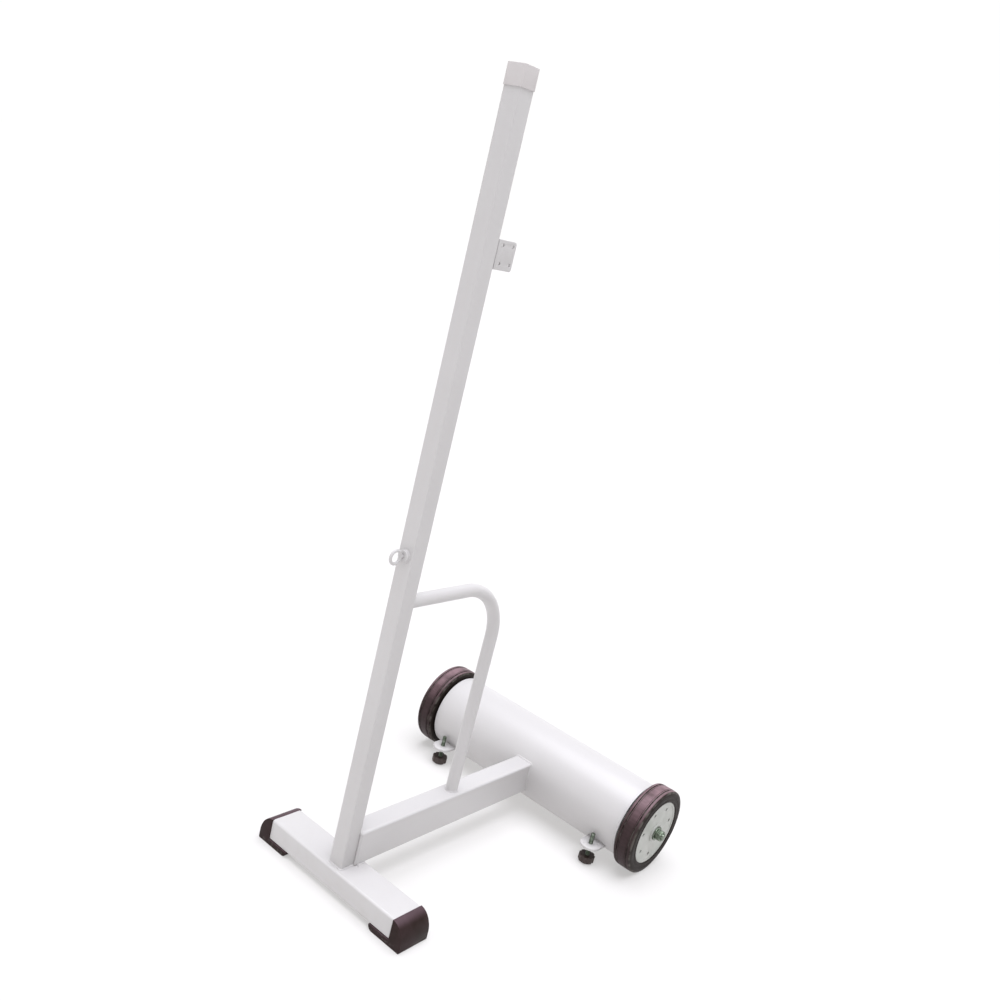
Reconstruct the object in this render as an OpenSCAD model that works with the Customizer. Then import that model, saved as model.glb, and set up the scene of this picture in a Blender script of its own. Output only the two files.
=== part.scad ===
// Free-standing net post with a counterweight, two wheels and two levelling feet.
// Millimetres, +Z up, +Y from the post towards the counterweight.

/* [Base tubes] */
// Wide side of the base tube
tube_w = 76; // [60:1:90]
// Narrow side of the base tube
tube_h = 47; // [40:1:56]
// Wall of the base tube
tube_wall = 3; // [2:0.5:4]
// Outer corner radius of the base tube
tube_corner = 5; // [4:0.5:7]
// Length of the crossbar tube
crossbar_l = 361; // [300:1:420]
// Distance from the crossbar's centre line to the wheel axis
axle_back = 655; // [560:1:760]

/* [Rubber feet] */
// Rubber below the crossbar
foot_h = 12; // [8:1:18]
// Reach of the foot's nose past the tube's end
foot_reach = 31; // [22:1:40]
// Rubber standing proud of each side of the tube
foot_side = 1.5; // [1:0.5:3]
// Length of the pad under the tube
foot_pad_l = 55; // [40:1:80]
// Height at which the nose starts to curve back
foot_straight = 17; // [10:1:24]
// Length of the plug inside the tube
foot_plug_l = 30; // [20:1:40]
// Small radius on the foot's lower outer edge
foot_edge_r = 3; // [1:0.5:5]

/* [Post] */
// Width over flats of the square post
post_w = 36; // [34:1:44]
// Wall of the post
post_wall = 2; // [1.5:0.5:3]
// Outer corner radius of the post
post_corner = 3; // [2:0.5:5]
// Height to the top of the post's cap
post_top = 1550; // [1400:1:1700]
// Distance of the post's axis in front of the crossbar's centre line
post_ahead = 8; // [0:1:14]
// Height of the cap's sleeve
cap_h = 34; // [24:1:44]
// Wall of the cap's sleeve
cap_wall = 1.3; // [1:0.1:2.5]
// Thickness of the cap's top
cap_top = 3; // [2:0.5:5]

/* [Brace handle] */
// Outer diameter of the brace tube
brace_d = 27; // [22:1:32]
// Wall of the brace tube
brace_wall = 2; // [1.5:0.5:3]
// Radius of the bend on the tube's axis
brace_bend_r = 120; // [80:1:150]
// Height of the level run's axis
brace_z = 627; // [500:1:720]
// Distance from the crossbar's centre line to the upright leg's axis
brace_back = 301; // [240:1:340]

/* [Tensioner plate] */
// Thickness of the plate
plate_t = 4; // [3:0.5:6]
// Spacing of the holes along the plate's depth
plate_hole_y = 26; // [20:1:32]
// Spacing of the holes along the plate's height
plate_hole_z = 30; // [24:1:38]
// Diameter of the holes
plate_hole_d = 5.5; // [4:0.5:7]
// Height of the hole pattern's centre
plate_z = 1265; // [1100:1:1380]
// Distance from the post's back face to the inner holes
plate_inset = 13; // [10:1:20]
// Distance from the outer holes to the free edge
plate_edge = 8; // [7:0.5:12]
// Distance from the upper holes to the top edge
plate_edge_top = 8; // [7:0.5:12]
// Distance from the lower holes to the bottom edge
plate_edge_bottom = 11; // [7:0.5:14]
// Radius of the plate's free corners
plate_corner = 5; // [3:0.5:6]

/* [Net eye] */
// Height of the eye
eye_z = 722; // [660:1:900]
// Diameter of the eye's rod
eye_rod_d = 6; // [5:0.5:8]
// Mean diameter of the eye's ring
eye_ring_d = 25; // [20:1:32]
// Diameter of the round boss that holds the eye
eye_boss_d = 24; // [20:1:30]
// Thickness of the boss
eye_boss_t = 7; // [5:1:10]
// Length of bare rod between boss and ring
eye_neck = 2; // [1:0.5:6]

/* [Counterweight] */
// Outer diameter of the counterweight tube
weight_d = 182; // [160:1:190]
// Length of the counterweight tube
weight_l = 567; // [460:1:620]
// Wall of the counterweight tube
weight_wall = 5; // [4:0.5:7]
// Thickness of the end plates
end_plate_t = 6; // [5:0.5:10]
// Length of the iron ballast in the middle of the tube
ballast_l = 200; // [100:5:300]

/* [Wheels] */
// Outer diameter of the tyre
wheel_d = 208; // [196:1:220]
// Width of the tyre
wheel_w = 47; // [40:1:56]
// Gap between the counterweight's end and the tyre
wheel_gap = 4.2; // [3.5:0.1:8]
// Radius of the tyre's shoulders
tyre_shoulder = 8; // [5:0.5:12]
// Diameter of the hub's rim, on which the tyre sits
hub_d = 154; // [140:1:164]
// Thickness of the hub's rim
rim_t = 5; // [4:0.5:8]
// Depth from the tyre's side to the rim's edge
rim_recess = 2; // [1:0.5:4]
// Thickness of the hub's disc
disc_t = 5; // [4:0.5:8]
// Depth from the rim's edge to the disc
disc_recess = 1.5; // [1:0.5:5]
// Number of holes in the hub's disc
disc_holes = 7; // [5:1:9]
// Diameter of the holes in the hub's disc
disc_hole_d = 9; // [6:0.5:12]
// Diameter of the circle that these holes lie on
disc_hole_circle = 115; // [100:1:124]
// Turn of the first hole from the +Y direction
disc_turn = 14; // [0:1:50]
// Outer diameter of the hub's boss
boss_d = 46; // [42:1:60]
// Outer diameter of the plain bushes
bush_d = 28; // [26:1:32]
// Length of each bush
bush_l = 16; // [12:1:20]
// Depth of the tyre's two tread grooves
groove_depth = 2; // [1:0.5:4]
// Width of each tread groove
groove_w = 3; // [2:0.5:5]
// Distance of each groove from the tyre's middle
groove_offset = 13; // [9:0.5:15]

/* [Axle ends] */
// Diameter of the stub axles
axle_d = 20; // [18:1:22]
// Length of each stub axle inside the counterweight
axle_root = 36; // [24:1:60]
// Diameter of the axle's threaded end
axle_end_d = 16; // [12:1:16]
// Length of thread past the nut
axle_tip = 4; // [2:1:10]
// Outer diameter of the spacer beside the hub
spacer_d = 34; // [28:1:40]
// Outer diameter of the washer
washer_d = 34; // [28:1:40]
// Thickness of the washer
washer_t = 3; // [2:0.5:4]
// Width over flats of the axle nut
nut_af = 24; // [22:1:30]
// Height of the axle nut
nut_h = 13; // [10:1:16]

/* [Levelling feet] */
// Width of the bracket plates
bracket_w = 48; // [40:1:60]
// Thickness of the bracket plates
bracket_t = 6; // [5:0.5:10]
// Height of the bracket plates' top
bracket_top = 49; // [46:1:56]
// Distance of each screw from the middle plane
screw_out = 234; // [190:1:240]
// Distance of each screw in front of the wheel axis
screw_ahead = 98; // [97:1:110]
// Diameter of the screws
screw_d = 10; // [8:1:12]
// Screw standing above the bracket, which is its travel downwards
screw_spare = 26; // [20:1:30]
// Outer diameter of the knobs
knob_d = 37; // [32:1:42]
// Height of the knobs
knob_h = 15; // [13:1:18]
// Number of finger grooves round a knob
knob_flutes = 8; // [6:1:10]
// Radius of a finger groove
knob_flute_r = 4; // [3:0.5:5]
// Diameter of the nylon glides
glide_d = 28; // [22:1:30]
// Thickness of the glides
glide_t = 3; // [2:0.5:5]
// Diameter of the glide's pivot
pivot_d = 12; // [9:1:14]
// Height of the glide's pivot
pivot_h = 5; // [4:1:6]
// Height of the glides above the floor at rest
glide_lift = 1; // [0.5:0.5:3]

/* [Hidden] */
$fn = 64;

seat = 0.2;          // gap at a curved or pushed-in seat
run = 0.3;           // axial running gap
fit_r = 0.05;        // radial running clearance
press_r = 0.02;      // radial gap of a pressed-in piece
past = 1;            // overrun of a cutting tool
mitre = 1;           // overlap that joins two lumps of one solid
curve_steps = 24;    // steps along a drawn curve

white = [0.93, 0.93, 0.92];
cap_white = [0.86, 0.86, 0.88];
black = [0.07, 0.06, 0.06];
zinc = [0.55, 0.58, 0.56];
nylon = [0.16, 0.16, 0.17];
iron = [0.3, 0.29, 0.28];

crossbar_top = foot_h + tube_h;
spine_top = crossbar_top + tube_w;
post_front = -post_ahead - post_w / 2;
post_back = -post_ahead + post_w / 2;
cap_play = seat;
cap_w = post_w + 2 * (cap_play + cap_wall);
brace_bend_y = brace_back - brace_bend_r;
brace_bend_z = brace_z - brace_bend_r;
eye_ring_r = eye_ring_d / 2;
eye_rod_r = eye_rod_d / 2;
eye_ring_y = post_front - eye_boss_t - eye_neck - eye_ring_r - eye_rod_r;
eye_front = eye_ring_y - eye_ring_r - eye_rod_r;

wheel_r = wheel_d / 2;
axle_z = wheel_r;
weight_r = weight_d / 2;
weight_end = weight_l / 2;
weight_bore_r = weight_r - weight_wall;
wheel_in = weight_end + wheel_gap;
wheel_mid = wheel_in + wheel_w / 2;
wheel_out = wheel_in + wheel_w;
hub_r = hub_d / 2;
rim_out = wheel_w / 2 - rim_recess;
disc_out = rim_out - disc_recess;
axle_r = axle_d / 2;
boss_half = wheel_w / 2;
boss_out = wheel_mid + boss_half;
shoulder_x = boss_out + run;
nut_x = shoulder_x + washer_t;
axle_tip_x = nut_x + nut_h + axle_tip;

screw_y = axle_back - screw_ahead;
bracket_bottom = bracket_top - bracket_t;
knob_bottom = glide_lift + glide_t + run;
knob_top = knob_bottom + knob_h;
pivot_top = glide_lift + glide_t + pivot_h;
screw_bottom = pivot_top + run;
screw_top = bracket_top + screw_spare;
bracket_back = axle_back - weight_r * cos(45);

// The origin lies under the middle of the whole outline, on the floor.
origin_y = (eye_front + axle_back + wheel_r) / 2;

function arc(cx, cy, rx, ry, a0, a1) =
    [for (i = [0 : curve_steps])
        let (a = a0 + (a1 - a0) * i / curve_steps) [cx + rx * cos(a), cy + ry * sin(a)]];

module place() { translate([0, -origin_y, 0]) children(); }

// A rectangle with true round corners.
module round_rect(w, h, r) {
    square([w - 2 * r, h], center = true);
    square([w, h - 2 * r], center = true);
    for (x = [-1, 1], y = [-1, 1]) translate([x * (w / 2 - r), y * (h / 2 - r)]) circle(r);
}

// Section of a rectangular tube.
module tube_section(w, h, wall, r) {
    difference() {
        round_rect(w, h, r);
        round_rect(w - 2 * wall, h - 2 * wall, max(r - wall, r / 4));
    }
}

// A rod or disc along +X, from x0 to x1, on the wheel axis.
module on_axle(x0, x1, r) {
    translate([x0, axle_back, axle_z]) rotate([0, 90, 0]) cylinder(h = x1 - x0, r = r);
}

module both_sides() {
    children();
    mirror([1, 0, 0]) children();
}

module crossbar() {
    color(white) place()
        translate([-crossbar_l / 2, 0, foot_h + tube_h / 2]) rotate([90, 0, 90])
            linear_extrude(crossbar_l) tube_section(tube_w, tube_h, tube_wall, tube_corner);
}

// Side outline of a foot: x runs outwards from the tube's end, y runs up.
module foot_profile() {
    polygon(concat(
        [[0, foot_h]],
        arc(-foot_pad_l + foot_h, foot_h, foot_h, foot_h, 180, 270),
        arc(foot_reach - foot_edge_r, foot_edge_r, foot_edge_r, foot_edge_r, 270, 360),
        arc(0, foot_straight, foot_reach, crossbar_top - foot_straight, 0, 90)
    ));
}

module foot() {
    plug_w = tube_w - 2 * tube_wall - 2 * seat;
    plug_h = tube_h - 2 * tube_wall - 2 * seat;
    translate([crossbar_l / 2, 0, 0]) {
        translate([0, tube_w / 2 + foot_side, 0]) rotate([90, 0, 0])
            linear_extrude(tube_w + 2 * foot_side) foot_profile();
        translate([-foot_plug_l, 0, foot_h + tube_h / 2]) rotate([90, 0, 90])
            linear_extrude(foot_plug_l + mitre) round_rect(plug_w, plug_h, tube_corner / 2);
    }
}

module foot_left() { color(black) place() mirror([1, 0, 0]) foot(); }
module foot_right() { color(black) place() foot(); }

module spine() {
    color(white) place() difference() {
        translate([0, post_back, crossbar_top + tube_w / 2]) rotate([-90, 0, 0])
            linear_extrude(axle_back - post_back)
                tube_section(tube_h, tube_w, tube_wall, tube_corner);
        on_axle(-weight_end, weight_end, weight_r + seat);
    }
}

module post() {
    color(white) place()
        translate([0, -post_ahead, crossbar_top])
            linear_extrude(post_top - cap_top - crossbar_top)
                tube_section(post_w, post_w, post_wall, post_corner);
}

module post_cap() {
    inner_w = post_w + 2 * cap_play;
    color(cap_white) place() translate([0, -post_ahead, post_top - cap_h]) difference() {
        linear_extrude(cap_h) round_rect(cap_w, cap_w, post_corner + cap_wall);
        translate([0, 0, -past]) linear_extrude(cap_h - cap_top + past)
            round_rect(inner_w, inner_w, post_corner);
    }
}

// The bent tube's outside, or its bore, from its radius.
module brace_path(r) {
    translate([0, post_back, brace_z]) rotate([-90, 0, 0])
        cylinder(h = brace_bend_y - post_back, r = r);
    translate([0, brace_bend_y, brace_bend_z]) rotate([90, 0, 90])
        rotate_extrude(angle = 90) translate([brace_bend_r, 0]) circle(r);
    translate([0, brace_back, spine_top]) cylinder(h = brace_bend_z - spine_top, r = r);
}

module brace_handle() {
    color(white) place() difference() {
        brace_path(brace_d / 2);
        brace_path(brace_d / 2 - brace_wall);
    }
}

module tensioner_plate() {
    inner_y = post_back + plate_inset;
    outer_y = inner_y + plate_hole_y;
    free_y = outer_y + plate_edge;
    top_z = plate_z + plate_hole_z / 2 + plate_edge_top;
    low_z = plate_z - plate_hole_z / 2 - plate_edge_bottom;
    color(white) place()
        translate([post_w / 2 - plate_t, 0, 0]) rotate([90, 0, 90])
            linear_extrude(plate_t) difference() {
                union() {
                    translate([post_back, low_z]) square([free_y - plate_corner - post_back, top_z - low_z]);
                    translate([post_back, low_z + plate_corner])
                        square([free_y - post_back, top_z - low_z - 2 * plate_corner]);
                    for (z = [low_z + plate_corner, top_z - plate_corner])
                        translate([free_y - plate_corner, z]) circle(plate_corner);
                }
                for (y = [inner_y, outer_y], z = [-1, 1])
                    translate([y, plate_z + z * plate_hole_z / 2]) circle(plate_hole_d / 2);
            }
}

module eye_boss() {
    color(white) place() translate([0, post_front, eye_z]) rotate([90, 0, 0]) difference() {
        cylinder(h = eye_boss_t, r = eye_boss_d / 2);
        translate([0, 0, -past]) cylinder(h = eye_boss_t + 2 * past, r = eye_rod_r + press_r);
    }
}

module net_eye() {
    color(white) place() {
        translate([0, post_front, eye_z]) rotate([90, 0, 0])
            cylinder(h = eye_boss_t + eye_neck + eye_rod_r, r = eye_rod_r);
        translate([0, eye_ring_y, eye_z]) rotate([0, 90, 0])
            rotate_extrude() translate([eye_ring_r, 0]) circle(eye_rod_r);
    }
}

module weight_tube() {
    color(white) place() difference() {
        on_axle(-weight_end, weight_end, weight_r);
        on_axle(-weight_end - past, weight_end + past, weight_bore_r);
    }
}

module end_plates() {
    color(white) place() both_sides() difference() {
        on_axle(weight_end - end_plate_t, weight_end, weight_bore_r - seat);
        on_axle(weight_end - end_plate_t - past, weight_end + past, axle_r + press_r);
    }
}

module ballast() { color(iron) place() on_axle(-ballast_l / 2, ballast_l / 2, weight_bore_r - seat); }

module stub_axles() {
    color(zinc) place() both_sides() {
        on_axle(weight_end - axle_root, shoulder_x, axle_r);
        on_axle(shoulder_x - mitre, axle_tip_x, axle_end_d / 2);
    }
}

module axle_spacers() {
    color(zinc) place() both_sides() difference() {
        on_axle(weight_end, wheel_in - run, spacer_d / 2);
        on_axle(weight_end - past, wheel_in + past, axle_r + press_r);
    }
}

module axle_washers() {
    color(zinc) place() both_sides() difference() {
        on_axle(shoulder_x, nut_x, washer_d / 2);
        on_axle(shoulder_x - past, nut_x + past, axle_end_d / 2 + fit_r);
    }
}

module axle_nuts() {
    color(zinc) place() both_sides() difference() {
        translate([nut_x, axle_back, axle_z]) rotate([0, 90, 0])
            cylinder(h = nut_h, r = nut_af / 2 / cos(30), $fn = 6);
        on_axle(nut_x - past, nut_x + nut_h + past, axle_end_d / 2 + press_r);
    }
}

// Half section of the tyre: x is the radius, y runs across the tread.
module tyre_section() {
    half = wheel_w / 2;
    s = tyre_shoulder;
    difference() {
        polygon(concat(
            [[hub_r + seat, -half], [wheel_r - s, -half]],
            arc(wheel_r - s, -half + s, s, s, 270, 360),
            arc(wheel_r - s, half - s, s, s, 0, 90),
            [[hub_r + seat, half]]
        ));
        for (side = [-1, 1]) translate([wheel_r - groove_depth, side * groove_offset - groove_w / 2])
            square([groove_depth + past, groove_w]);
    }
}

// Half section of the hub: rim, disc and boss; y runs outwards along the axle.
module hub_section() {
    translate([hub_r - rim_t, -rim_out]) square([rim_t, 2 * rim_out]);
    translate([bush_d / 2, disc_out - disc_t]) square([hub_r - bush_d / 2 - rim_t / 2, disc_t]);
    translate([bush_d / 2, -boss_half]) square([(boss_d - bush_d) / 2, 2 * boss_half]);
}

module wheel_place() {
    translate([wheel_mid, axle_back, axle_z]) rotate([0, 90, 0]) children();
}

module tyre() {
    wheel_place() rotate_extrude($fn = 96) tyre_section();
}

module hub() {
    wheel_place() difference() {
        rotate_extrude() hub_section();
        for (i = [0 : disc_holes - 1]) rotate([0, 0, 90 + disc_turn + i * 360 / disc_holes])
            translate([disc_hole_circle / 2, 0, disc_out - disc_t - past])
                cylinder(h = disc_t + 2 * past, r = disc_hole_d / 2);
    }
}

module bushes() {
    wheel_place() for (side = [-1, 1]) difference() {
        translate([0, 0, side * (boss_half - bush_l / 2)])
            cylinder(h = bush_l, r = bush_d / 2 - press_r, center = true);
        cylinder(h = 2 * (boss_half + past), r = axle_r + fit_r, center = true);
    }
}

module tyre_right() { color(black) place() tyre(); }
module tyre_left() { color(black) place() mirror([1, 0, 0]) tyre(); }
module hub_right() { color(white) place() hub(); }
module hub_left() { color(white) place() mirror([1, 0, 0]) hub(); }
module bushes_right() { color(nylon) place() bushes(); }
module bushes_left() { color(nylon) place() mirror([1, 0, 0]) bushes(); }

module levelling_brackets() {
    color(white) place() both_sides() difference() {
        translate([screw_out, screw_y, bracket_bottom]) linear_extrude(bracket_t) {
            circle(bracket_w / 2);
            translate([-bracket_w / 2, 0]) square([bracket_w, bracket_back - screw_y]);
        }
        on_axle(0, weight_end, weight_r + seat);
        translate([screw_out, screw_y, bracket_bottom - past])
            cylinder(h = bracket_t + 2 * past, r = screw_d / 2 + fit_r);
    }
}

module screw() {
    translate([screw_out, screw_y, screw_bottom])
        cylinder(h = screw_top - screw_bottom, r = screw_d / 2);
}

module knob() {
    translate([screw_out, screw_y, knob_bottom]) difference() {
        linear_extrude(knob_h) difference() {
            circle(knob_d / 2);
            for (i = [0 : knob_flutes - 1]) rotate(i * 360 / knob_flutes)
                translate([knob_d / 2 + knob_flute_r / 2, 0]) circle(knob_flute_r);
        }
        translate([0, 0, -past])
            cylinder(h = pivot_top - knob_bottom + seat + past, r = pivot_d / 2 + fit_r);
        translate([0, 0, screw_bottom - knob_bottom])
            cylinder(h = knob_h, r = screw_d / 2 + press_r);
    }
}

module glide() {
    translate([screw_out, screw_y, glide_lift]) {
        cylinder(h = glide_t, r = glide_d / 2);
        cylinder(h = glide_t + pivot_h, r = pivot_d / 2);
    }
}

module screw_right() { color(zinc) place() screw(); }
module screw_left() { color(zinc) place() mirror([1, 0, 0]) screw(); }
module knob_right() { color(black) place() knob(); }
module knob_left() { color(black) place() mirror([1, 0, 0]) knob(); }
module glide_right() { color(nylon) place() glide(); }
module glide_left() { color(nylon) place() mirror([1, 0, 0]) glide(); }

crossbar();
foot_left();
foot_right();
spine();
post();
post_cap();
brace_handle();
tensioner_plate();
eye_boss();
net_eye();
weight_tube();
end_plates();
ballast();
stub_axles();
axle_spacers();
axle_washers();
axle_nuts();
tyre_left();
tyre_right();
hub_left();
hub_right();
bushes_left();
bushes_right();
levelling_brackets();
screw_left();
screw_right();
knob_left();
knob_right();
glide_left();
glide_right();
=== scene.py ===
"""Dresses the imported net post: finishes, moulded rubber, wheels, threads, welds, floor, lights and camera."""
import logging
from dataclasses import dataclass, field
from enum import Enum
from math import cos, pi, radians, sin, sqrt, tan
from typing import Callable, Iterable, Sequence

import bmesh
import bpy
from bpy.types import Material, Mesh, NodeSocket, Object
from mathutils import Matrix, Vector


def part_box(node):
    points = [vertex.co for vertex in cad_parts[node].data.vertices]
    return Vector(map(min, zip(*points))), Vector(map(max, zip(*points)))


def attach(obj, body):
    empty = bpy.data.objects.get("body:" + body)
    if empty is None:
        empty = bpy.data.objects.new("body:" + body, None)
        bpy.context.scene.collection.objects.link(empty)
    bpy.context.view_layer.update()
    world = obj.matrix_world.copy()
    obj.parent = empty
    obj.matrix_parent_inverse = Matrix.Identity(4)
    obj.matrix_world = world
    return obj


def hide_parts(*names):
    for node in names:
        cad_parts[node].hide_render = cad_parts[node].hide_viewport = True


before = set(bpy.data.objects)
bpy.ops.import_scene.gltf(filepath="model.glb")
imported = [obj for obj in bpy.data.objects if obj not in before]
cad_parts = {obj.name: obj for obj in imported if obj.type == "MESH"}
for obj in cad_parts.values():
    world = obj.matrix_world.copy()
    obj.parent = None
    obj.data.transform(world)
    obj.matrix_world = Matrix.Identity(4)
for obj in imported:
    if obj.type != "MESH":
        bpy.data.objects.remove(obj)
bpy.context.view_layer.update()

LOG = logging.getLogger("net_post")
MM = 0.001
WAY_X, WAY_Y, WAY_Z = Vector((1, 0, 0)), Vector((0, 1, 0)), Vector((0, 0, 1))
MIDDLE = (0.3, 0.7)  # the middle of a noise pattern's range
MERGE = 1e-6  # points this close are one, in a mesh made here
NODE_MERGE = 2e-6  # the same in a mesh from the frame
FLAT = 0.5  # faces within this angle of each other, in degrees, are one plane
Point = tuple[float, float]
Triple = tuple[float, float, float]
Rgb = Triple
Paths = Sequence[Sequence[Vector]]


class Slot(Enum):
    """The record's material slots."""

    WHITE = "white_paint"
    CAP = "cap_plastic"
    HUB = "hub_plastic"
    FOOT = "foot_rubber"
    TYRE = "tyre_rubber"
    KNOB = "knob_plastic"
    NYLON = "nylon"
    ZINC = "zinc_steel"
    IRON = "ballast_iron"


class Side(Enum):
    """Left or right of the middle plane, with the sign of X."""

    LEFT = -1
    RIGHT = 1

    @property
    def word(self) -> str:
        """The side's name in nodes and bodies."""
        return self.name.lower()


# ---------- node trees


def operator(kind: str, swapped: bool = False) -> Callable[["Wire", "Wire | float"], "Wire"]:
    """A Python operator of Wire as one Math node."""

    def apply(wire: "Wire", other: "Wire | float") -> "Wire":
        """Adds the node."""
        return wire.compute(kind, *((other, wire) if swapped else (wire, other)))

    return apply


class Wire:
    """A node socket that takes part in Python expressions."""

    __add__, __radd__ = operator("ADD"), operator("ADD", True)
    __sub__, __rsub__ = operator("SUBTRACT"), operator("SUBTRACT", True)
    __mul__, __truediv__ = operator("MULTIPLY"), operator("DIVIDE")

    def __init__(self, web: "Web", socket: NodeSocket) -> None:
        """Keeps the socket and the tree it lives in."""
        self.web = web
        self.socket = socket

    def compute(self, operation: str, *values: "Wire | float") -> "Wire":
        """Adds one Math node and returns its result."""
        return self.web.add("ShaderNodeMath", {"operation": operation}, dict(enumerate(values)))

    def clamp(self) -> "Wire":
        """self held between 0 and 1."""
        return self.compute("MINIMUM", self.compute("MAXIMUM", self, 0.0), 1.0)

    def sine(self) -> "Wire":
        """The sine of self, in radians."""
        return self.compute("SINE", self)

    def sway(self, amount: float) -> "Wire":
        """How far self is from 0.5, times an amount."""
        return (self - 0.5) * amount

    def smooth(self, low: float, high: float) -> "Wire":
        """A soft step from 0 at low to 1 at high."""
        settings = {"interpolation_type": "SMOOTHSTEP"}
        return self.web.add("ShaderNodeMapRange", settings, {0: self, 1: low, 2: high, 3: 0.0, 4: 1.0})


class Web:
    """Builds a shader or geometry node tree, one call for each node."""

    def __init__(self, tree: bpy.types.NodeTree) -> None:
        """Takes an empty tree."""
        self.tree = tree

    def add(
        self,
        kind: str,
        settings: dict[str, object] | None = None,
        inputs: dict[int | str, object] | None = None,
        output: int | str = 0,
    ) -> Wire:
        """Adds a node.

        Args:
            kind: the node's type name.
            settings: its properties, set first.
            inputs: values or wires, by socket index or name.
            output: the output to return.

        Returns:
            The chosen output as a wire.
        """
        node = self.tree.nodes.new(kind)
        for name, value in (settings or {}).items():
            setattr(node, name, value)
        for key, value in (inputs or {}).items():
            self.join(value, node.inputs[key])
        return Wire(self, node.outputs[output])

    def height(self, vector: Wire) -> Wire:
        """A vector's Z."""
        return self.add("ShaderNodeSeparateXYZ", {}, {0: vector}, output=2)

    def join(self, value: object, socket: NodeSocket) -> None:
        """Links a wire, or several, to a socket, or sets the socket's own value."""
        if isinstance(value, (list, tuple)) and value and isinstance(value[0], Wire):
            for wire in value:
                self.tree.links.new(wire.socket, socket)
        elif isinstance(value, Wire):
            self.tree.links.new(value.socket, socket)
        else:
            socket.default_value = value


class Paintwork(Web):
    """A material's node tree, with the patterns that the finishes share."""

    def __init__(self, name: str) -> None:
        """Starts a material with one Principled shader."""
        self.material = bpy.data.materials.new(name)
        self.material.use_nodes = True
        super().__init__(self.material.node_tree)
        self.shader = self.tree.nodes["Principled BSDF"]
        self.place = self.add("ShaderNodeTexCoord", output="Object")

    def noise(self, scale: float, detail: float = 3.0, where: Wire | None = None) -> Wire:
        """A noise value on object coordinates, scale in cycles a metre."""
        inputs = {"Vector": where or self.place, "Scale": scale, "Detail": detail}
        return self.add("ShaderNodeTexNoise", {}, inputs)

    def stretched(self, scale: Triple) -> Wire:
        """Object coordinates, scaled by axis."""
        return self.add("ShaderNodeMapping", {}, {"Vector": self.place, "Scale": scale})

    def low_down(self, top: float) -> Wire:
        """A mask that is 1 on the floor and 0 from a height upwards."""
        return 1.0 - self.height(self.place).smooth(0.0, top)

    def upward(self, low: float, high: float) -> Wire:
        """A mask of what faces up, by the Z of the object's own normal."""
        return self.height(self.add("ShaderNodeTexCoord", output="Normal")).smooth(low, high)

    def blend(self, factor: Wire, first: tuple[float, ...] | Wire, second: tuple[float, ...] | Wire) -> Wire:
        """A colour mix."""
        settings = {"data_type": "RGBA", "blend_type": "MIX"}
        inputs = {0: factor, 6: self._rgba(first), 7: self._rgba(second)}
        return self.add("ShaderNodeMix", settings, inputs, output=2)

    @staticmethod
    def _rgba(colour: tuple[float, ...] | Wire) -> tuple[float, ...] | Wire:
        """Adds alpha to a plain colour."""
        return colour if isinstance(colour, Wire) else (*colour[:3], 1.0)

    def finish(
        self, colour: Wire, roughness: Wire, heights: Sequence[tuple[Wire, float]], plain: dict[str, object]
    ) -> Material:
        """Joins the shader.

        Args:
            colour: base colour.
            roughness: roughness value.
            heights: bump heights, each with its real depth in metres.
            plain: sockets that are the same all over the surface.

        Returns:
            The finished material.
        """
        for name, value in plain.items():
            self.shader.inputs[name].default_value = value
        self.join(colour, self.shader.inputs["Base Color"])
        self.join(roughness, self.shader.inputs["Roughness"])
        normal: Wire | None = None
        for height, depth in heights:
            inputs: dict[int | str, object] = {"Height": height, "Distance": depth, "Strength": 1.0}
            if normal is not None:
                inputs["Normal"] = normal
            normal = self.add("ShaderNodeBump", {}, inputs)
        if normal is not None:
            self.join(normal, self.shader.inputs["Normal"])
        return self.material


# ---------- finishes


# Noise scales are in cycles a metre; depths, radii and heights in metres.


@dataclass(frozen=True)
class PowderCoat:
    """Baked white paint: a fine orange peel, a soft gloss and a little dust low down."""

    name: str = "powder_coat"
    colour: Rgb = (0.550, 0.537, 0.539)
    shade: Rgb = (0.522, 0.508, 0.508)
    dust: Rgb = (0.48, 0.46, 0.44)
    dust_top: float = 0.09
    dust_share: float = 0.35
    dust_scale: float = 34.0
    gloss: float = 0.36
    cloud_scale: float = 5.0
    cloud_depth: float = 0.0004
    fleck_scale: float = 95.0
    peel_scale: float = 420.0
    peel_depth: float = 0.000035

    def material(self) -> Material:
        """Builds the paint."""
        web = Paintwork(self.name)
        cloud = web.noise(self.cloud_scale, 4.0)
        fleck = web.noise(self.fleck_scale)
        peel = web.noise(self.peel_scale, 2.0)
        patches = web.noise(self.dust_scale, 5.0).smooth(0.45, 0.75)
        grime = (web.low_down(self.dust_top) * patches * self.dust_share).clamp()
        mottle = (cloud.smooth(*MIDDLE) * 0.5 + fleck.smooth(0.55, 0.75) * 0.2).clamp()
        colour = web.blend(grime, web.blend(mottle, self.colour, self.shade), self.dust)
        roughness = (self.gloss + cloud.sway(0.16) + grime * 0.3 + fleck * 0.04).clamp()
        plain = {"Specular IOR Level": 0.42, "Coat Weight": 0.12, "Coat Roughness": 0.22}
        return web.finish(colour, roughness, [(peel, self.peel_depth), (cloud, self.cloud_depth)], plain)


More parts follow.
